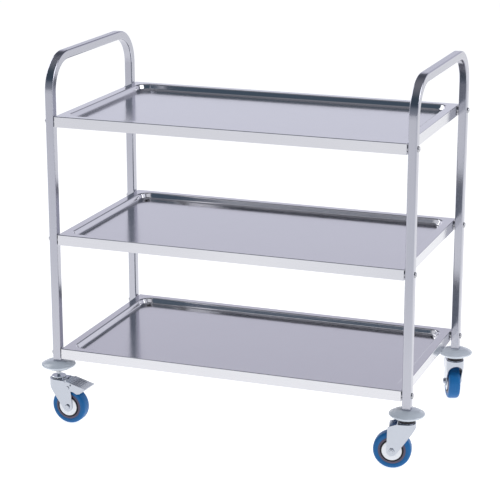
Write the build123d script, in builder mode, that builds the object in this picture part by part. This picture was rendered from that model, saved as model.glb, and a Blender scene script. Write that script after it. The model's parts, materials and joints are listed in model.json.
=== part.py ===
from build123d import *
import os
from math import hypot

# A three-tier food service trolley: two bent tube end frames, three pressed tray shelves bolted between
# them, and four swivel castors under round bumpers, the left pair with a brake pedal.
# Millimetres. +X runs along the trolley, +Y to its rear, +Z up. The origin is on the floor, under the
# middle of the frame.

# ---- the whole trolley ----
LENGTH = 950.0            # over the outer faces of the end frames
DEPTH = 505.0             # over the front and rear faces of the legs
HEIGHT = 956.0            # to the top of the handles
CLEARANCE = 0.3           # between pieces that pass each other
RUNNING = 0.05            # radial play of a shaft that turns

# ---- end frames ----
TUBE = 22.0               # square tube
TUBE_WALL = 1.2
TUBE_CORNER = 3.5
BEND = 84.0               # radius of the tube's centre line
LEG_X = (LENGTH - TUBE) / 2
LEG_Y = (DEPTH - TUBE) / 2
LEG_FOOT = {"left": 164.5, "right": 150.0}     # height of the cut ends of the legs

# ---- shelves ----
SHELF_TOP = {"bottom": 199.0, "middle": 502.0, "top": 805.0}
SHEET = 1.0
FOLD = 1.6                # outer radius where the sheet is folded down
SHELF_GAP = 2.0           # from a leg's inner face to the end of a shelf
SHELF_LENGTH = LENGTH - 2 * (TUBE + SHELF_GAP)
APRON = 27.0
HEM = 9.0                 # the apron's bottom edge, turned inwards
RIM = 23.0
TRAY_DEPTH = 14.0
TRAY_CORNER = 30.0
TRAY_SLOPE = 6.0          # how far the tray's wall leans in on its way down
LIP_RADIUS = 4.0          # where the rim turns down
FLOOR_RADIUS = 6.0        # where the wall meets the tray's floor
STIFFENER = (700.0, 60.0, 5.0)

# ---- shelf bolts ----
BOLT_RADIUS = 4.0
BOLT_HOLE = 4.1
BOLT_HEAD_RADIUS = 7.0
BOLT_HEAD_HEIGHT = 4.5
BOLT_DOME = 3.6           # rounding of the head's rim
WASHER_RADIUS = 8.0
WASHER_THICKNESS = 1.6
NUT_ACROSS_FLATS = 13.0
NUT_HEIGHT = 6.5
BOLT_END = 2.0            # thread that shows past the nut
BOLT_DROP = APRON / 2     # below the shelf's rim

# ---- castors: local +X is the way the wheel trails from the stem ----
WHEEL_RADIUS = 47.0
TRAIL = 33.0
TREAD_WIDTH = 31.0
TREAD_CROWN = 1.0         # how far the tread's middle stands above its edges
TREAD_ROUND = 7.0
TRAIL_ANGLE = {"front_left": -3.0, "front_right": 189.0, "rear_right": 113.0, "rear_left": 12.0}
BRAKED = ("front_left", "rear_left")

CROWN_TOP = 117.0
FORK_SHEET = 2.5
CROWN_HALF_WIDTH = 23.5
LEG_HALF_WIDTH = 20.5
FORK_BACK = 56.0
FORK_EYE = 13.0           # round end of a fork leg, about the axle
FORK_EAR = (41.0, 107.0)  # upper rear corner of a fork leg
FORK_EAR_RADIUS = 3.0
FORK_BROW = 106.0         # below this height the front edge slopes back to the axle
FORK_TAPER = (78.0, 92.0) # the legs widen to the crown between these heights
FORK_BOTTOM = 20.0
ARCH_SPRING = 87.0        # height of the centre of the arch over the tyre
ARCH_FOOT = 57.0
CROWN_BACK = 22.0
RACE_WALL = 2.0
BALL_RADIUS = 2.0
BALL_CIRCLE = 14.5
BALL_COUNT = 14
STEM_RADIUS = 5.0
STEM_REACH = 14.0         # how far the stem stands up inside the leg
RACE_RADIUS = 19.0
RACE_BOTTOM = 121.1
RACE_TOP = 123.5
RACE_CHAMFER = 1.2
RIVET_RADIUS = 8.0
RIVET_HEIGHT = 3.0
SEAL_RADIUS = 21.0
SEAL_BOTTOM = 119.3       # its skirt hangs round the race
STEM_NUT_ACROSS_FLATS = 16.0
STEM_NUT_HEIGHT = 8.0

AXLE_RADIUS = 4.0
AXLE_HEAD_RADIUS = 6.5
AXLE_HEAD_HEIGHT = 4.0
AXLE_HEAD_CHAMFER = 1.0
AXLE_END = 1.0            # thread that shows past the nut
BUSH_RADIUS = 6.0
TYRE_BORE = 34.0
TYRE_SEAT = 14.6          # half the width of the tyre where it grips the core
TYRE_WALL = 37.0          # where its side wall reaches full width
RING_OUTER = 29.0
RING_INNER = 24.9
RING_SEAT = 13.3
RING_FACE = 15.0
GUARD_RADIUS = 24.5
GUARD_SHEET = 1.0
HUB_HALF_LENGTH = 15.2
HUB_RADIUS = 13.0
WEB_HALF = 5.0            # half the thickness of the core's web
RIM_INNER = 26.0

# ---- bumpers ----
BUMPER_RADIUS = 44.0
BUMPER_RIM = (41.5, 2.8)  # radius, and height from the widest circle, where the rim's round begins
DOME_POINT = (31.5, 8.2)  # a point on the domed top
BOWL_POINT = (32.5, 8.6)  # a point on the bowl below
BUMPER_SEAT = 16.5        # radius of the flat that the leg stands on
BUMPER_FOOT = 22.5
BUMPER_TOP = 11.0         # from the bumper's widest circle up to the leg's cut end
BUMPER_BOTTOM = 12.0
SOCKET_HEIGHT = 16.0
SOCKET_PLAY = 0.1

# ---- brake ----
PEDAL_PIVOT = (37.0, 100.0)
PEDAL_SHEET = 1.6
PEDAL_HALF_WIDTH = 25.6
PEDAL_ROOT = (33.0, 117.0)
PEDAL_TIP = (88.0, 103.0)
PEDAL_LIP = 2.5
PEDAL_EDGE = ((72.0, 88.5), (63.0, 86.5), (53.0, 91.5), (42.0, 92.5), (32.0, 93.5), (28.0, 100.0))
PEDAL_HOLE = (46.0, 109.0)
PEDAL_HOLE_RADIUS = 2.5
SHOE_RADIUS = 54.0
SHOE_SHEET = 3.0
SHOE_START = 48.0         # degrees round the axle
SHOE_SWEEP = 13.0
PIN_RADIUS = 3.0
PIN_HEAD_RADIUS = 5.0
PIN_HEAD_HEIGHT = 1.5

os.makedirs("parts", exist_ok=True)

LEG_SIDES = {"left": -LEG_X, "right": LEG_X}
CORNERS = {
    "front_left": (-LEG_X, -LEG_Y),
    "front_right": (LEG_X, -LEG_Y),
    "rear_right": (LEG_X, LEG_Y),
    "rear_left": (-LEG_X, LEG_Y),
}


def write(piece, name):
    """Labels a finished piece and writes it as its own STEP file."""
    piece.label = name
    export_step(piece, f"parts/{name}.step")


def side_of(corner):
    return corner.split("_")[1]


# ---- end frames -------------------------------------------------------------------------------------

def end_frame(x, foot):
    """A front leg, the handle and a rear leg, bent from one length of square tube."""
    top = HEIGHT - TUBE / 2
    with BuildPart() as frame:
        with BuildLine(Plane.YZ.offset(x)):
            FilletPolyline((-LEG_Y, foot), (-LEG_Y, top), (LEG_Y, top), (LEG_Y, foot), radius=BEND)
        with BuildSketch(Plane((x, -LEG_Y, foot))):
            RectangleRounded(TUBE, TUBE, TUBE_CORNER)
            inner = TUBE - 2 * TUBE_WALL
            RectangleRounded(inner, inner, TUBE_CORNER - TUBE_WALL, mode=Mode.SUBTRACT)
        sweep()
        bolt_places = [(y, z - BOLT_DROP) for y in (-LEG_Y, LEG_Y) for z in SHELF_TOP.values()]
        with BuildSketch(Plane.YZ.offset(x)):
            with Locations(*bolt_places):
                Circle(BOLT_HOLE)
        extrude(amount=TUBE, both=True, mode=Mode.SUBTRACT)
    return frame.part


for side, leg_x in LEG_SIDES.items():
    write(end_frame(leg_x, LEG_FOOT[side]), f"{side}_end_frame")


# ---- shelves, made with the rim at height 0 ----------------------------------------------------------

def tray_form(grow):
    """The solid form of the tray's hollow, with grow added all round it."""
    slant = grow * hypot(TRAY_SLOPE, TRAY_DEPTH) / TRAY_DEPTH
    mouth_x = SHELF_LENGTH - 2 * RIM + 2 * slant
    mouth_y = DEPTH - 2 * RIM + 2 * slant
    run = TRAY_SLOPE * (TRAY_DEPTH + grow) / TRAY_DEPTH
    with BuildPart() as form:
        with BuildSketch():
            RectangleRounded(mouth_x, mouth_y, TRAY_CORNER + slant)
        with BuildSketch(Plane.XY.offset(-TRAY_DEPTH - grow)):
            RectangleRounded(mouth_x - 2 * run, mouth_y - 2 * run, TRAY_CORNER + slant - run / 2)
        loft(ruled=True)
        fillet(form.faces().sort_by(Axis.Z)[0].edges(), FLOOR_RADIUS + grow)
    return form.part


def underside():
    """The hollow below a shelf: inside its aprons, under its rim and round its tray."""
    with BuildPart() as hollow:
        with BuildSketch(Plane.XY.offset(-SHEET)):
            Rectangle(SHELF_LENGTH - 2 * SHEET, DEPTH - 2 * SHEET)
        extrude(amount=-(APRON - 2 * SHEET))
        add(tray_form(SHEET), mode=Mode.SUBTRACT)
        rim_edge = hollow.faces().sort_by(Axis.Z)[-1].inner_wires()[0].edges()
        fillet(rim_edge, LIP_RADIUS - SHEET)
        with BuildSketch(Plane.XY.offset(-APRON + SHEET)):
            Rectangle(SHELF_LENGTH - 2 * HEM, DEPTH - 2 * HEM)
        extrude(amount=-SHEET)
    return hollow.part


with BuildPart() as shelf:
    with BuildSketch():
        Rectangle(SHELF_LENGTH, DEPTH)
    extrude(amount=-APRON)
    fillet(shelf.edges().filter_by(Axis.Z) + shelf.edges().group_by(Axis.Z)[-1], FOLD)
    add(tray_form(0), mode=Mode.SUBTRACT)
    fillet(shelf.faces().sort_by(Axis.Z)[-1].inner_wires()[0].edges(), LIP_RADIUS)
    add(underside(), mode=Mode.SUBTRACT)
    with BuildSketch(Plane.YZ):
        with Locations((-LEG_Y, -BOLT_DROP), (LEG_Y, -BOLT_DROP)):
            Circle(BOLT_HOLE)
    extrude(amount=SHELF_LENGTH, both=True, mode=Mode.SUBTRACT)

# A shallow channel spot welded under the tray's floor.
with BuildPart() as stiffener:
    channel_length, channel_width, channel_depth = STIFFENER
    with BuildSketch(Plane.XY.offset(-TRAY_DEPTH - SHEET)):
        Rectangle(channel_length, channel_width)
    extrude(amount=-channel_depth)
    with BuildSketch(Plane.XY.offset(-TRAY_DEPTH - 2 * SHEET)):
        Rectangle(channel_length, channel_width - 2 * SHEET)
    extrude(amount=-channel_depth, mode=Mode.SUBTRACT)

for level, height in SHELF_TOP.items():
    write(shelf.part.moved(Location((0, 0, height))), f"{level}_shelf")
    write(stiffener.part.moved(Location((0, 0, height))), f"{level}_shelf_stiffener")


# ---- shelf bolts, one through each leg at each shelf -------------------------------------------------

def bolt_planes(reach):
    """A plane on each bolt's axis, reach away from the trolley's middle, facing outwards."""
    return [
        Plane((side * reach, y, height - BOLT_DROP), x_dir=(0, 1, 0), z_dir=(side, 0, 0))
        for side in (-1, 1)
        for y in (-LEG_Y, LEG_Y)
        for height in SHELF_TOP.values()
    ]


SHELF_INSIDE = SHELF_LENGTH / 2 - SHEET
NUT_FACE = SHELF_INSIDE - WASHER_THICKNESS
BOLT_TIP = NUT_FACE - NUT_HEIGHT - BOLT_END

with BuildPart() as shelf_bolts:
    with BuildSketch(*bolt_planes(BOLT_TIP)):
        Circle(BOLT_RADIUS)
    extrude(amount=LENGTH / 2 - BOLT_TIP)
    with BuildSketch(*bolt_planes(LENGTH / 2)):
        Circle(BOLT_HEAD_RADIUS)
    extrude(amount=BOLT_HEAD_HEIGHT)
    outer_rims = [
        edge
        for edge in shelf_bolts.edges().filter_by(GeomType.CIRCLE)
        if abs(abs(edge.center().X) - LENGTH / 2 - BOLT_HEAD_HEIGHT) < SHEET / 10
    ]
    fillet(outer_rims, BOLT_DOME)

with BuildPart() as shelf_spacers:
    with BuildSketch(*bolt_planes(SHELF_LENGTH / 2)):
        Circle(WASHER_RADIUS)
        Circle(BOLT_HOLE, mode=Mode.SUBTRACT)
    extrude(amount=SHELF_GAP)

with BuildPart() as shelf_washers:
    with BuildSketch(*bolt_planes(NUT_FACE)):
        Circle(WASHER_RADIUS)
        Circle(BOLT_HOLE, mode=Mode.SUBTRACT)
    extrude(amount=WASHER_THICKNESS)

with BuildPart() as shelf_nuts:
    with BuildSketch(*bolt_planes(NUT_FACE - NUT_HEIGHT)):
        RegularPolygon(NUT_ACROSS_FLATS / 2, 6, major_radius=False)
        Circle(BOLT_RADIUS + RUNNING, mode=Mode.SUBTRACT)
    extrude(amount=NUT_HEIGHT)

write(shelf_bolts.part, "shelf_bolts")
write(shelf_spacers.part, "shelf_spacers")
write(shelf_washers.part, "shelf_washers")
write(shelf_nuts.part, "shelf_nuts")


# ---- what is fixed in the foot of each leg -----------------------------------------------------------

with BuildPart() as leg_sockets:
    for corner, (x, y) in CORNERS.items():
        with BuildSketch(Plane((x, y, LEG_FOOT[side_of(corner)]))):
            socket = TUBE - 2 * TUBE_WALL - 2 * SOCKET_PLAY
            RectangleRounded(socket, socket, TUBE_CORNER - TUBE_WALL)
            Circle(STEM_RADIUS + RUNNING, mode=Mode.SUBTRACT)
        extrude(amount=SOCKET_HEIGHT)
write(leg_sockets.part, "leg_sockets")


def bumper(middle):
    """A round bumper with a domed top and a deeper bowl below, about its widest circle at middle."""
    rim, edge = BUMPER_RIM
    dome, dome_rise = DOME_POINT
    bowl, bowl_drop = BOWL_POINT
    top, bottom = middle + BUMPER_TOP, middle - BUMPER_BOTTOM
    with BuildPart() as disc:
        with BuildSketch(Plane.XZ):
            with BuildLine():
                Polyline((BUMPER_FOOT, bottom), (0, bottom), (0, top), (BUMPER_SEAT, top))
                ThreePointArc((BUMPER_SEAT, top), (dome, middle + dome_rise), (rim, middle + edge))
                ThreePointArc((rim, middle + edge), (BUMPER_RADIUS, middle), (rim, middle - edge))
                ThreePointArc((rim, middle - edge), (bowl, middle - bowl_drop), (BUMPER_FOOT, bottom))
            make_face()
        revolve(axis=Axis.Z)
        with BuildSketch(Plane.XY.offset(middle - BUMPER_BOTTOM)):
            Circle(STEM_RADIUS + CLEARANCE)
        extrude(amount=BUMPER_TOP + BUMPER_BOTTOM, mode=Mode.SUBTRACT)
    return disc.part


def castor_stem(foot):
    """The threaded stem with its upper race, riveted over below the fork's crown."""
    rivet_top = CROWN_TOP - FORK_SHEET - CLEARANCE
    with BuildPart() as stem:
        with BuildSketch(Plane.XY.offset(rivet_top - RIVET_HEIGHT)):
            Circle(RIVET_RADIUS)
        extrude(amount=RIVET_HEIGHT)
        with BuildSketch(Plane.XY.offset(rivet_top)):
            Circle(STEM_RADIUS)
        extrude(amount=foot + STEM_REACH - rivet_top)
        with BuildSketch(Plane.XY.offset(RACE_BOTTOM)):
            Circle(RACE_RADIUS)
        extrude(amount=RACE_TOP - RACE_BOTTOM)
        race_rim = stem.edges().filter_by(GeomType.CIRCLE).sort_by(SortBy.RADIUS)[-2:]
        chamfer(race_rim.sort_by(Axis.Z)[-1:], RACE_CHAMFER)
    return stem.part


for corner, (x, y) in CORNERS.items():
    foot = LEG_FOOT[side_of(corner)]
    place = Location((x, y, 0))
    write(bumper(foot - BUMPER_TOP).moved(place), f"{corner}_bumper")
    write(castor_stem(foot).moved(place), f"{corner}_castor_stem")

# Rubber seals fill the space between a plain castor's race and its bumper, with a skirt round the race.
with BuildPart() as dust_seals:
    seal_top = LEG_FOOT["right"] - BUMPER_TOP - BUMPER_BOTTOM
    for corner in ("front_right", "rear_right"):
        with BuildSketch(Plane((*CORNERS[corner], SEAL_BOTTOM))):
            Circle(SEAL_RADIUS)
        extrude(amount=seal_top - SEAL_BOTTOM)
        with BuildSketch(Plane((*CORNERS[corner], SEAL_BOTTOM))):
            Circle(RACE_RADIUS + RUNNING)
        extrude(amount=RACE_TOP - SEAL_BOTTOM, mode=Mode.SUBTRACT)
        with BuildSketch(Plane((*CORNERS[corner], SEAL_BOTTOM))):
            Circle(STEM_RADIUS + RUNNING)
        extrude(amount=seal_top - SEAL_BOTTOM, mode=Mode.SUBTRACT)
write(dust_seals.part, "dust_seals")

# Lock nuts hold the braked castors' stems, whose thread shows below the bumpers.
with BuildPart() as stem_nuts:
    nut_top = LEG_FOOT["left"] - BUMPER_TOP - BUMPER_BOTTOM
    for corner in BRAKED:
        with BuildSketch(Plane((*CORNERS[corner], nut_top - STEM_NUT_HEIGHT))):
            RegularPolygon(STEM_NUT_ACROSS_FLATS / 2, 6, major_radius=False)
            Circle(STEM_RADIUS + RUNNING, mode=Mode.SUBTRACT)
        extrude(amount=STEM_NUT_HEIGHT)
write(stem_nuts.part, "stem_nuts")


# ---- castors, made about a stem that stands at the origin --------------------------------------------

AXLE = (TRAIL, WHEEL_RADIUS)
WHEEL_PLANE = Plane((TRAIL, 0, WHEEL_RADIUS), x_dir=(1, 0, 0), z_dir=(0, 1, 0))
WHEEL_AXIS = Axis((TRAIL, 0, WHEEL_RADIUS), (0, 1, 0))
SECTION_PLANE = Plane((TRAIL, 0, WHEEL_RADIUS), x_dir=(1, 0, 0), z_dir=(0, 0, 1))


def fork_shell(inset, bottom, top):
    """The outline of the fork's pressing from above, rounded at the front and pinched in over the wheel."""
    narrow, wide = FORK_TAPER
    levels = {bottom: LEG_HALF_WIDTH, narrow: LEG_HALF_WIDTH, wide: CROWN_HALF_WIDTH, top: CROWN_HALF_WIDTH}
    with BuildPart() as shell:
        for height, half_width in levels.items():
            with BuildSketch(Plane.XY.offset(height)):
                Circle(half_width - inset)
                with Locations((FORK_BACK / 2, 0)):
                    Rectangle(FORK_BACK, 2 * (half_width - inset))
        loft(ruled=True)
    return shell.part


def fork(braked):
    """The pressed fork: a crown over the stem, and two legs that trail down to the axle."""
    nose = CROWN_HALF_WIDTH + CLEARANCE
    with BuildPart() as pressing:
        add(fork_shell(0, FORK_BOTTOM, CROWN_TOP))
        with BuildSketch(Plane.XZ):
            with BuildLine():
                Polyline((-nose, FORK_BROW), (-nose, CROWN_TOP), (CROWN_BACK, CROWN_TOP))
                CenterArc(AXLE, FORK_EYE, 0, 360)
                CenterArc(FORK_EAR, FORK_EAR_RADIUS, 0, 360)
            make_hull()
        extrude(amount=CROWN_HALF_WIDTH * 2, both=True, mode=Mode.INTERSECT)
        add(fork_shell(FORK_SHEET, FORK_BOTTOM / 2, CROWN_TOP - FORK_SHEET), mode=Mode.SUBTRACT)
        # The crown's plate ends behind the stem, and the space between the legs is open above the wheel.
        with BuildSketch(Plane.XY.offset(CROWN_TOP)):
            with Locations((CROWN_BACK + FORK_BACK / 2, 0)):
                Rectangle(FORK_BACK, 2 * (CROWN_HALF_WIDTH - FORK_SHEET))
        extrude(amount=-2 * FORK_SHEET, mode=Mode.SUBTRACT)
        arch = LEG_HALF_WIDTH - FORK_SHEET
        with BuildSketch(Plane.YZ):
            with Locations((0, ARCH_SPRING)):
                Circle(arch)
            with Locations((0, (ARCH_SPRING + ARCH_FOOT) / 2)):
                Rectangle(2 * arch, ARCH_SPRING - ARCH_FOOT)
        extrude(amount=-2 * CROWN_HALF_WIDTH, mode=Mode.SUBTRACT)
        with BuildSketch(Plane.XY.offset(CROWN_TOP)):
            Circle(RACE_RADIUS)
            Circle(RACE_RADIUS - RACE_WALL, mode=Mode.SUBTRACT)
        extrude(amount=BALL_RADIUS)
        with BuildSketch():
            Circle(STEM_RADIUS + RUNNING)
        extrude(amount=CROWN_TOP + FORK_SHEET, mode=Mode.SUBTRACT)
        with BuildSketch(WHEEL_PLANE):
            Circle(AXLE_RADIUS + RUNNING)
        extrude(amount=CROWN_HALF_WIDTH, both=True, mode=Mode.SUBTRACT)
        if braked:
            with BuildSketch(Plane.XZ):
                with Locations(PEDAL_PIVOT):
                    Circle(PIN_RADIUS + RUNNING)
            extrude(amount=CROWN_HALF_WIDTH * 2, both=True, mode=Mode.SUBTRACT)
    return pressing.part


with BuildPart(Plane.XY.offset(CROWN_TOP + RUNNING + BALL_RADIUS)) as ball_ring:
    with PolarLocations(BALL_CIRCLE, BALL_COUNT):
        Sphere(BALL_RADIUS)

with BuildPart() as axle_bolt:
    with BuildSketch(WHEEL_PLANE.offset(-LEG_HALF_WIDTH)):
        Circle(AXLE_RADIUS)
    extrude(amount=2 * LEG_HALF_WIDTH + AXLE_HEAD_HEIGHT + AXLE_END)
    with BuildSketch(WHEEL_PLANE.offset(-LEG_HALF_WIDTH)):
        Circle(AXLE_HEAD_RADIUS)
    extrude(amount=-AXLE_HEAD_HEIGHT)
    chamfer(axle_bolt.faces().sort_by(Axis.Y)[0].edges(), AXLE_HEAD_CHAMFER)

with BuildPart() as axle_nut:
    with BuildSketch(WHEEL_PLANE.offset(LEG_HALF_WIDTH)):
        RegularPolygon(AXLE_HEAD_RADIUS, 6, major_radius=False)
        Circle(AXLE_RADIUS + RUNNING, mode=Mode.SUBTRACT)
    extrude(amount=AXLE_HEAD_HEIGHT)

with BuildPart() as axle_set:
    add(axle_bolt.part)
    add(axle_nut.part)

with BuildPart() as bush:
    bush_half = LEG_HALF_WIDTH - FORK_SHEET - SOCKET_PLAY
    with BuildSketch(WHEEL_PLANE.offset(-bush_half)):
        Circle(BUSH_RADIUS)
        Circle(AXLE_RADIUS + RUNNING, mode=Mode.SUBTRACT)
    extrude(amount=2 * bush_half)


def turned(outline):
    """A solid turned about the axle, from points given as (radius, distance along the axle)."""
    with BuildPart() as piece:
        with BuildSketch(SECTION_PLANE):
            with BuildLine():
                Polyline(*outline, close=True)
            make_face()
        revolve(axis=WHEEL_AXIS)
    return piece.part


def both_sides(outline):
    """The turned piece, and its mirror image on the wheel's other side."""
    with BuildPart() as pair:
        add(turned(outline))
        mirror(about=Plane.XZ)
    return pair.part


# A dished plate on each side keeps threads out of the bearing.
guard_dish = [(BUSH_RADIUS + SOCKET_PLAY, 16.7), (12.0, 16.7), (20.0, 16.2), (GUARD_RADIUS, 15.5)]
guard_back = [(radius, across + GUARD_SHEET) for radius, across in reversed(guard_dish)]
thread_guards = both_sides(guard_dish + guard_back)

ring_outline = [
    (RING_INNER, RING_SEAT), (RING_OUTER, RING_SEAT), (RING_OUTER, RING_FACE), (RING_INNER, RING_FACE),
]
hub_rings = both_sides(ring_outline)

# Half the core's section, from the bore over the hub and the web to the rim.
half_core = [
    (BUSH_RADIUS + RUNNING, HUB_HALF_LENGTH), (HUB_RADIUS - 1, HUB_HALF_LENGTH), (HUB_RADIUS, WEB_HALF),
    (RIM_INNER, WEB_HALF), (RIM_INNER + 1, RING_SEAT), (RING_OUTER, RING_SEAT),
    (RING_OUTER, HUB_HALF_LENGTH), (TYRE_BORE, TYRE_SEAT),
]
wheel_core = turned(half_core + [(radius, -across) for radius, across in reversed(half_core)])

with BuildPart() as tyre:
    with BuildSketch(SECTION_PLANE) as tread:
        with BuildLine():
            edge, half = WHEEL_RADIUS - TREAD_CROWN, TREAD_WIDTH / 2
            Polyline(
                (edge, half), (TYRE_WALL, half), (TYRE_BORE, TYRE_SEAT),
                (TYRE_BORE, -TYRE_SEAT), (TYRE_WALL, -half), (edge, -half),
            )
            ThreePointArc((edge, -half), (WHEEL_RADIUS, 0), (edge, half))
        make_face()
        fillet(tread.vertices().sort_by(Axis.X)[-2:], TREAD_ROUND)
    revolve(axis=WHEEL_AXIS)


with BuildPart() as pedal:
    root_x, root_z = PEDAL_ROOT
    tip_x, tip_z = PEDAL_TIP
    lip_bottom = tip_z - PEDAL_LIP
    with BuildSketch(Plane.XZ):
        with BuildLine():
            Polyline(
                (root_x, root_z - PEDAL_SHEET), PEDAL_ROOT, PEDAL_TIP, (tip_x, lip_bottom),
                (tip_x - PEDAL_SHEET, lip_bottom), (tip_x - PEDAL_SHEET, tip_z - PEDAL_SHEET), close=True,
            )
        make_face()
    extrude(amount=PEDAL_HALF_WIDTH, both=True)
    for flange_face in (PEDAL_HALF_WIDTH - PEDAL_SHEET, -PEDAL_HALF_WIDTH):
        with BuildSketch(Plane.XZ.offset(flange_face)):
            with BuildLine():
                Polyline(PEDAL_ROOT, PEDAL_TIP, (tip_x, lip_bottom), *PEDAL_EDGE, close=True)
            make_face()
            with Locations(PEDAL_PIVOT):
                Circle(PIN_RADIUS + RUNNING, mode=Mode.SUBTRACT)
            with Locations(PEDAL_HOLE):
                Circle(PEDAL_HOLE_RADIUS, mode=Mode.SUBTRACT)
        extrude(amount=PEDAL_SHEET)
    with BuildSketch(Plane.XZ):
        with BuildLine():
            CenterArc(AXLE, SHOE_RADIUS + SHOE_SHEET / 2, SHOE_START, SHOE_SWEEP)
        trace(line_width=SHOE_SHEET)
    extrude(amount=PEDAL_HALF_WIDTH - PEDAL_SHEET, both=True)

with BuildPart() as pedal_pin:
    with BuildSketch(Plane.XZ):
        with Locations(PEDAL_PIVOT):
            Circle(PIN_RADIUS)
    extrude(amount=PEDAL_HALF_WIDTH + CLEARANCE + PIN_HEAD_HEIGHT, both=True)
    for head_face in (PEDAL_HALF_WIDTH + CLEARANCE, -PEDAL_HALF_WIDTH - CLEARANCE - PIN_HEAD_HEIGHT):
        with BuildSketch(Plane.XZ.offset(head_face)):
            with Locations(PEDAL_PIVOT):
                Circle(PIN_HEAD_RADIUS)
        extrude(amount=PIN_HEAD_HEIGHT)

forks = {True: fork(True), False: fork(False)}
for corner, (x, y) in CORNERS.items():
    place = Location((x, y, 0), (0, 0, TRAIL_ANGLE[corner]))
    pieces = {
        "fork": forks[corner in BRAKED],
        "swivel_balls": ball_ring.part,
        "axle": axle_set.part,
        "bush": bush.part,
        "thread_guards": thread_guards,
        "wheel_core": wheel_core,
        "hub_rings": hub_rings,
        "tyre": tyre.part,
    }
    if corner in BRAKED:
        pieces["brake_pedal"] = pedal.part
        pieces["brake_pin"] = pedal_pin.part
    for name, piece in pieces.items():
        write(piece.moved(place), f"{corner}_{name}")
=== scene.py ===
import json
from math import cos, radians, sin

import bmesh
import bpy
from mathutils import Matrix, Vector


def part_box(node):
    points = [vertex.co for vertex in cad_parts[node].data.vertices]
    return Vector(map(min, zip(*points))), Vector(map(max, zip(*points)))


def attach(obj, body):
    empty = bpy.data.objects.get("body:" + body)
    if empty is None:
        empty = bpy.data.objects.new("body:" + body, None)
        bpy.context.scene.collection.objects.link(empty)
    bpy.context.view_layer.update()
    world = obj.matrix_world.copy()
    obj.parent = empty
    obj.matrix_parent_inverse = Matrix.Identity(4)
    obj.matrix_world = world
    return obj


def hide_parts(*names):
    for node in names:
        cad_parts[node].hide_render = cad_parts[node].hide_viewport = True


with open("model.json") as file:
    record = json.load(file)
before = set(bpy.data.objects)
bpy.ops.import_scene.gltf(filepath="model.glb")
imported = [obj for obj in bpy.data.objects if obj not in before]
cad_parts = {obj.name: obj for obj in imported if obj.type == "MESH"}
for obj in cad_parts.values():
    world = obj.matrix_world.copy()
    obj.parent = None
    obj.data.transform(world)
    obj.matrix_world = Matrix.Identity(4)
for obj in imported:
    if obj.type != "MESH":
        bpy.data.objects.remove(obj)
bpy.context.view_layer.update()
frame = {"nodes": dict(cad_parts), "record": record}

# ---- sizes in metres, powers in watts, and the other settings ----------------------------------

CAMERA_AZIMUTH = radians(20.15)
CAMERA_ELEVATION = radians(15.93)
CAMERA_PLACE = (1.5068, -4.1721, 1.6986)
CAMERA_LENS = 129.16
CAMERA_SHIFT = (-0.0024, 0.0049)
CAMERA_REACH = 200

FLOOR_REACH = 40.0
# Strength of the floor's painted glow.
FLOOR_GLOW = 0.90

SOFTBOXES = {"left_softbox": (-3.4, 0.3, 3.0), "right_softbox": (3.4, -0.2, 3.0)}
SOFTBOX_SIDE = 2.6
SOFTBOX_POWER = 62
SOFTBOX_AIM = (0, 0, 0.4)

# Cells are counted to the metre: many across a grain and few along it. A depth is how far a
# pattern moves the roughness, and a bump is how high it stands.
CLOSE_CELLS = 420.0
LONG_CELLS = 6.0
BEND_RADIUS = 0.095
GRAIN_DEPTH = 0.08
GRAIN_BUMP = 0.0002
DARK_GRAIN = 0.88
CLOUD_CELLS = 6.0
SMUDGE_CELLS = 28.0
MARK_DEPTH = 0.05

MOTTLE_CELLS = 40.0
MOTTLE_DEPTH = 0.08
DARK_MOTTLE = 0.9
SPECK_CELLS = 900.0
SPECK_DEPTH = 0.06
SPECK_BUMP = 0.0003

SAME_POINT = 1e-6
FLAT = radians(0.5)
SHARP = radians(35)
CREASE = radians(50)
EDGE_ROUND = 0.0006
EDGE_SEGMENTS = 2

RIB_COUNT = 5
RIB_WIDTH = 0.0032
RIB_HEIGHT = 0.0009
RIB_ROUND = 0.8 * RIB_HEIGHT
RIB_SEGMENTS = 3
RIB_SHARE = 0.8
FACING_UP = 0.9

BLACK = (0, 0, 0)
WHITE = (1, 1, 1)
STEEL = (0.50, 0.505, 0.56)


# ---- shader recipes ----------------------------------------------------------------------------

class Value:
    """A shader socket that ordinary arithmetic works on."""

    def __init__(self, recipe, socket):
        self.recipe = recipe
        self.socket = socket

    def __add__(self, other):
        return self.recipe.math("ADD", self, other)

    def __sub__(self, other):
        return self.recipe.math("SUBTRACT", self, other)

    def __rsub__(self, other):
        return self.recipe.math("SUBTRACT", other, self)

    def __mul__(self, other):
        return self.recipe.math("MULTIPLY", self, other)

    __radd__ = __add__
    __rmul__ = __mul__


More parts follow.
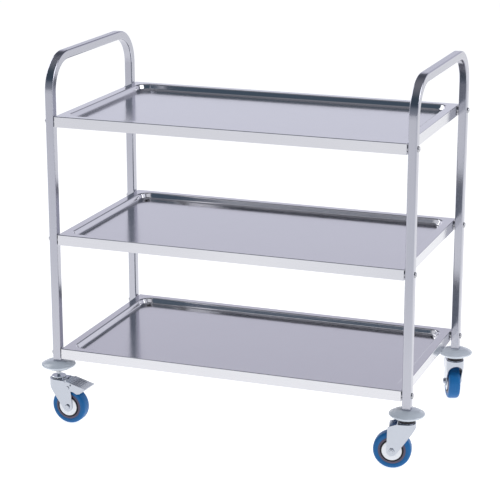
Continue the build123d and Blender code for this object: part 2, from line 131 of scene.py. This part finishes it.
class Recipe:
    """One material or world as it is put together, node by node."""

    def __init__(self, owner):
        self.owner = owner
        owner.use_nodes = True
        self.tree = owner.node_tree
        self.tree.nodes.clear()

    def add(self, kind, settings=None, inputs=None, output=0):
        """Adds a node, makes its settings first, then fills or links its inputs."""
        node = self.tree.nodes.new(kind)
        for name, value in (settings or {}).items():
            if name == "stops":
                self._set_stops(node.color_ramp, value)
            else:
                setattr(node, name, value)
        for name, value in (inputs or {}).items():
            if isinstance(value, Value):
                self.tree.links.new(value.socket, node.inputs[name])
            else:
                node.inputs[name].default_value = value
        return Value(self, node.outputs[output]) if node.outputs else node

    def _set_stops(self, ramp, stops):
        while len(ramp.elements) < len(stops):
            ramp.elements.new(0.5)
        for element, (place, colour) in zip(ramp.elements, stops):
            element.position = place
            element.color = (*colour, 1)

    def math(self, operation, first, second=0.0):
        return self.add("ShaderNodeMath", {"operation": operation}, {0: first, 1: second})

    def along(self, axis, vector):
        """One coordinate of a vector, 0 for X to 2 for Z."""
        return self.add("ShaderNodeSeparateXYZ", inputs={0: vector}, output=axis)

    def vector(self, x, y, z):
        return self.add("ShaderNodeCombineXYZ", inputs={0: x, 1: y, 2: z})

    def place(self, stretch=(1, 1, 1)):
        """Object coordinates, stretched along each axis."""
        coordinates = self.add("ShaderNodeTexCoord", output="Object")
        return self.add("ShaderNodeMapping", inputs={"Vector": coordinates, "Scale": stretch})

    def noise(self, vector, scale, detail=3, roughness=0.5):
        return self.add(
            "ShaderNodeTexNoise",
            inputs={"Vector": vector, "Scale": scale, "Detail": detail, "Roughness": roughness},
        )

    def blend(self, factor, first, second):
        """Mixes two colours. The Mix node keeps its colours on inputs 6 and 7 and output 2."""
        colours = [c if isinstance(c, Value) else (*c, 1) for c in (first, second)]
        return self.add(
            "ShaderNodeMix", {"data_type": "RGBA"},
            {"Factor": factor, 6: colours[0], 7: colours[1]}, output=2,
        )

    def ramp(self, factor, *stops):
        return self.add("ShaderNodeValToRGB", {"stops": stops}, {"Fac": factor})

    def bump(self, height, strength, distance):
        return self.add(
            "ShaderNodeBump", inputs={"Height": height, "Strength": strength, "Distance": distance}
        )

    def finish(self, **inputs):
        """The surface itself, on the material's output."""
        sockets = {name.replace("_", " "): value for name, value in inputs.items()}
        surface = self.add("ShaderNodeBsdfPrincipled", inputs=sockets)
        self.add("ShaderNodeOutputMaterial", inputs={"Surface": surface})
        return self.owner


def new_recipe(name):
    return Recipe(bpy.data.materials.new(name))


# ---- studio: camera, floor, light --------------------------------------------------------------

def link_data(name, data):
    """Puts a camera, a lamp or a mesh into the scene as an object at the origin."""
    thing = bpy.data.objects.new(name, data)
    bpy.context.scene.collection.objects.link(thing)
    return thing


def link_mesh(name, shape):
    """Turns a bmesh into a linked object at the origin."""
    mesh = bpy.data.meshes.new(name)
    shape.to_mesh(mesh)
    shape.free()
    return link_data(name, mesh)


def point(thing, place, direction):
    """Sets a camera or a lamp down at a place, looking along a direction."""
    thing.location = place
    thing.rotation_mode = "QUATERNION"
    thing.rotation_quaternion = direction.to_track_quat("-Z", "Y")


def make_camera():
    data = bpy.data.cameras.new("camera")
    data.lens = CAMERA_LENS
    data.shift_x, data.shift_y = CAMERA_SHIFT
    data.clip_end = CAMERA_REACH
    camera = link_data("camera", data)
    back = Vector((
        sin(CAMERA_AZIMUTH) * cos(CAMERA_ELEVATION),
        -cos(CAMERA_AZIMUTH) * cos(CAMERA_ELEVATION),
        sin(CAMERA_ELEVATION),
    ))
    point(camera, CAMERA_PLACE, -back)
    bpy.context.scene.camera = camera


def make_floor():
    """A matt table that glows with painted light: white under and behind the trolley, greyer in
    front of it.
    """
    shape = bmesh.new()
    bmesh.ops.create_grid(shape, x_segments=1, y_segments=1, size=FLOOR_REACH)
    floor = link_mesh("floor", shape)
    recipe = new_recipe("floor")
    spot = recipe.place()
    colour = recipe.blend(recipe.noise(spot, 0.4), (0.46, 0.46, 0.47), (0.50, 0.50, 0.50))
    # ahead is 0 a metre in front of the middle and gains 0.5 for each metre further forward.
    ahead = recipe.along(1, spot) * -0.5 - 0.5
    rightwards = recipe.along(0, spot) * 0.8 + 0.7
    # Painted glow: the emission is white under and behind the trolley, and further in front it
    # fades to a greyer glow that dims towards the right.
    painted_glow_front_fade = recipe.ramp(ahead, (0.0, BLACK), (0.45, WHITE))
    painted_glow_front_shade = recipe.ramp(
        rightwards,
        (0.0, (0.88, 0.88, 0.90)), (0.25, (0.98, 0.98, 0.98)), (0.9, (0.74, 0.75, 0.78)),
    )
    floor.data.materials.append(recipe.finish(
        Base_Color=colour, Roughness=0.95, Specular_IOR_Level=0.1,
        Emission_Color=recipe.blend(painted_glow_front_fade, WHITE, painted_glow_front_shade), Emission_Strength=FLOOR_GLOW,
    ))


def make_softbox(name, place):
    data = bpy.data.lights.new(name, "AREA")
    data.shape = "RECTANGLE"
    data.size = data.size_y = SOFTBOX_SIDE
    data.energy = SOFTBOX_POWER
    point(link_data(name, data), place, Vector(SOFTBOX_AIM) - Vector(place))


def make_room():
    """A bright wall behind the trolley, a darker room on the camera's side, and a dark ceiling."""
    world = bpy.data.worlds.new("room")
    bpy.context.scene.world = world
    recipe = Recipe(world)
    direction = recipe.add("ShaderNodeTexCoord", output="Generated")
    height = recipe.along(2, direction)
    behind = recipe.ramp(
        height,
        (0.0, (0.90, 0.90, 0.98)), (0.20, (0.75, 0.76, 0.87)), (0.33, (0.63, 0.62, 0.72)),
        (0.40, (0.56, 0.56, 0.66)), (0.46, (0.16, 0.17, 0.20)), (0.72, (0.10, 0.11, 0.14)),
        (1.0, (0.30, 0.30, 0.33)),
    )
    ahead = recipe.ramp(
        height,
        (0.0, (0.60, 0.61, 0.66)), (0.06, (0.36, 0.38, 0.43)), (0.32, (0.26, 0.29, 0.34)),
        (0.44, (0.07, 0.10, 0.14)), (0.75, (0.07, 0.10, 0.13)), (1.0, (0.30, 0.30, 0.33)),
    )
    side = recipe.ramp(recipe.along(1, direction) * 2 + 0.5, (0.35, BLACK), (0.65, WHITE))
    background = recipe.add(
        "ShaderNodeBackground",
        inputs={"Color": recipe.blend(side, ahead, behind), "Strength": 1.0},
    )
    recipe.add("ShaderNodeOutputWorld", inputs={"Surface": background})


# ---- finishes ----------------------------------------------------------------------------------

def brushed(recipe, grain_place, base, roughness):
    """Satin metal from grain laid out along grain_place, with faint handling marks over it."""
    fine = recipe.noise(grain_place, 1.0, 5, 0.7)
    cloud = recipe.noise(recipe.place(), CLOUD_CELLS)
    smudge = recipe.noise(recipe.place(), SMUDGE_CELLS, 4, 0.6)
    dark = [shade * DARK_GRAIN for shade in base]
    # Each noise runs about its middle, so half of every depth comes off the roughness again.
    lowest = roughness - GRAIN_DEPTH / 2 - MARK_DEPTH
    return recipe.finish(
        Base_Color=recipe.blend(fine * 0.5 + cloud * 0.5, dark, base),
        Metallic=1.0,
        Roughness=fine * GRAIN_DEPTH + cloud * MARK_DEPTH + smudge * MARK_DEPTH + lowest,
        Normal=recipe.bump(fine, 0.10, GRAIN_BUMP),
    )


def sheet_metal(name, stretch, base, roughness):
    """Rolled or plated metal. stretch is small along the grain and large across it."""
    recipe = new_recipe(name)
    return brushed(recipe, recipe.place(stretch), base, roughness)


def plated(name, cells, base, roughness):
    """Plated metal with the same fine grain every way."""
    return sheet_metal(name, (cells, cells, cells), base, roughness)


def bent_tube(name, base, roughness):
    """Polished tube whose grain runs up the legs, round the bends and along the handle."""
    _, leg_outside, handle_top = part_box("left_end_frame")[1]
    bend_y = leg_outside - BEND_RADIUS
    bend_z = handle_top - BEND_RADIUS
    recipe = new_recipe(name)
    spot = recipe.place()
    out = recipe.math("ABSOLUTE", recipe.along(1, spot))
    up = recipe.along(2, spot)
    past_y = recipe.math("MAXIMUM", out - bend_y, 0.0)
    past_z = recipe.math("MAXIMUM", up - bend_z, 0.0)
    radius = recipe.math("SQRT", past_y * past_y + past_z * past_z)
    turn = recipe.math("ARCTAN2", past_z, past_y)
    leg_run = recipe.math("MINIMUM", up, bend_z)
    handle_run = recipe.math("MINIMUM", out, bend_y)
    run = leg_run + turn * BEND_RADIUS - handle_run
    across = recipe.along(0, spot)
    grain_place = recipe.vector(across * CLOSE_CELLS, radius * CLOSE_CELLS, run * LONG_CELLS)
    return brushed(recipe, grain_place, base, roughness)


def moulded(name, base, roughness, coat=0.0):
    """Moulded plastic or rubber, faintly uneven."""
    recipe = new_recipe(name)
    mottle = recipe.noise(recipe.place(), MOTTLE_CELLS, 4, 0.6)
    speck = recipe.noise(recipe.place(), SPECK_CELLS, 2)
    dark = [shade * DARK_MOTTLE for shade in base]
    lowest = roughness - (MOTTLE_DEPTH + SPECK_DEPTH) / 2
    return recipe.finish(
        Base_Color=recipe.blend(mottle, dark, base),
        Roughness=mottle * MOTTLE_DEPTH + speck * SPECK_DEPTH + lowest,
        Coat_Weight=coat, Coat_Roughness=0.15, Specular_IOR_Level=0.3,
        Normal=recipe.bump(speck, 0.05, SPECK_BUMP),
    )


FINISHES = {
    "tube_steel": bent_tube("polished_tube", STEEL, 0.17),
    "tray_steel": sheet_metal(
        "polished_sheet", (LONG_CELLS, CLOSE_CELLS, CLOSE_CELLS), (0.72, 0.72, 0.75), 0.14
    ),
    "fastener_steel": plated("fastener_steel", 200, (0.50, 0.50, 0.52), 0.24),
    "zinc_plate": plated("zinc_plate", 120, (0.55, 0.58, 0.64), 0.20),
    "guard_plate": plated("guard_plate", 90, (0.74, 0.76, 0.80), 0.32),
    "bearing_steel": plated("bearing_steel", 90, (0.55, 0.55, 0.57), 0.15),
    "bumper_rubber": moulded("bumper_rubber", (0.74, 0.80, 0.87), 0.24, coat=0.5),
    "black_rubber": moulded("black_rubber", (0.012, 0.010, 0.014), 0.45),
    "black_nylon": moulded("black_nylon", (0.02, 0.02, 0.02), 0.45),
    "hub_nylon": moulded("hub_nylon", (0.13, 0.11, 0.17), 0.4),
    "blue_tread": moulded("blue_tread", (0.008, 0.15, 0.42), 0.42),
}


# ---- castor details ----------------------------------------------------------------------------

slots = {part["node"]: part["material_slot"] for part in frame["record"]["subparts"]}
bodies = {
    node: body
    for body, nodes in frame["record"]["behaviour"]["bodies"].items()
    for node in nodes
}


def dress(piece, node):
    """Gives a new piece the finish, the slot and the body of the CAD node that it belongs to."""
    piece.data.materials.append(FINISHES[slots[node]])
    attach(piece, bodies[node])


def merged(node):
    """A bmesh of a CAD node with its triangles joined and its flat faces whole."""
    shape = bmesh.new()
    shape.from_mesh(frame["nodes"][node].data)
    bmesh.ops.remove_doubles(shape, verts=shape.verts, dist=SAME_POINT)
    bmesh.ops.dissolve_limit(
        shape, angle_limit=FLAT, verts=shape.verts, edges=shape.edges,
        use_dissolve_boundaries=False,
    )
    return shape


def round_edges(shape, edges, width, segments):
    """Rounds some edges of a shape and shades all of it smooth."""
    bmesh.ops.bevel(
        shape, geom=edges, offset=width, offset_type="OFFSET", affect="EDGES",
        segments=segments, profile=0.5, material=-1, clamp_overlap=True,
    )
    for face in shape.faces:
        face.smooth = True


def soften(node):
    """Replaces a pressing by the same pressing with its sheared edges rounded."""
    shape = merged(node)
    sharp = [
        edge for edge in shape.edges
        if edge.is_manifold and edge.calc_face_angle() > SHARP
    ]
    round_edges(shape, sharp, EDGE_ROUND, EDGE_SEGMENTS)
    piece = link_mesh(f"{node}_softened", shape)
    normals = piece.modifiers.new("even_shading", "WEIGHTED_NORMAL")
    normals.keep_sharp = True
    piece.data.set_sharp_from_angle(angle=CREASE)
    dress(piece, node)
    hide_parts(node)


def rib_pedal(node):
    """Pressed ribs along the top of a brake pedal, where the shoe treads."""
    pedal = merged(node)
    plate = max(
        (face for face in pedal.faces if face.normal.z > FACING_UP),
        key=lambda face: face.calc_area(),
    )
    longest = max(plate.edges, key=lambda edge: edge.calc_length())
    along = (longest.verts[1].co - longest.verts[0].co).normalized()
    up = plate.normal.copy()
    across = up.cross(along)
    middle = plate.calc_center_median()
    length = longest.calc_length() * RIB_SHARE
    width = plate.calc_area() / longest.calc_length()
    pedal.free()
    turn = Matrix((along, across, up)).transposed().to_4x4()
    size = Matrix.Diagonal((length, RIB_WIDTH, 2 * RIB_HEIGHT, 1))
    ribs = bmesh.new()
    for number in range(RIB_COUNT):
        aside = (number - (RIB_COUNT - 1) / 2) * width / (RIB_COUNT + 1)
        place = Matrix.Translation(middle + across * aside)
        bmesh.ops.create_cube(ribs, size=1, matrix=place @ turn @ size)
    round_edges(ribs, ribs.edges[:], RIB_ROUND, RIB_SEGMENTS)
    dress(link_mesh(f"{node}_ribs", ribs), node)


# ---- the scene ---------------------------------------------------------------------------------

make_camera()
make_floor()
make_room()
for softbox, softbox_place in SOFTBOXES.items():
    make_softbox(softbox, softbox_place)
bpy.context.scene.view_settings.view_transform = "Standard"

for node, piece in frame["nodes"].items():
    piece.data.materials.clear()
    piece.data.materials.append(FINISHES[slots[node]])

for node in frame["nodes"]:
    if node.endswith(("_fork", "_brake_pedal", "_axle")):
        soften(node)
    if node.endswith("_brake_pedal"):
        rib_pedal(node)
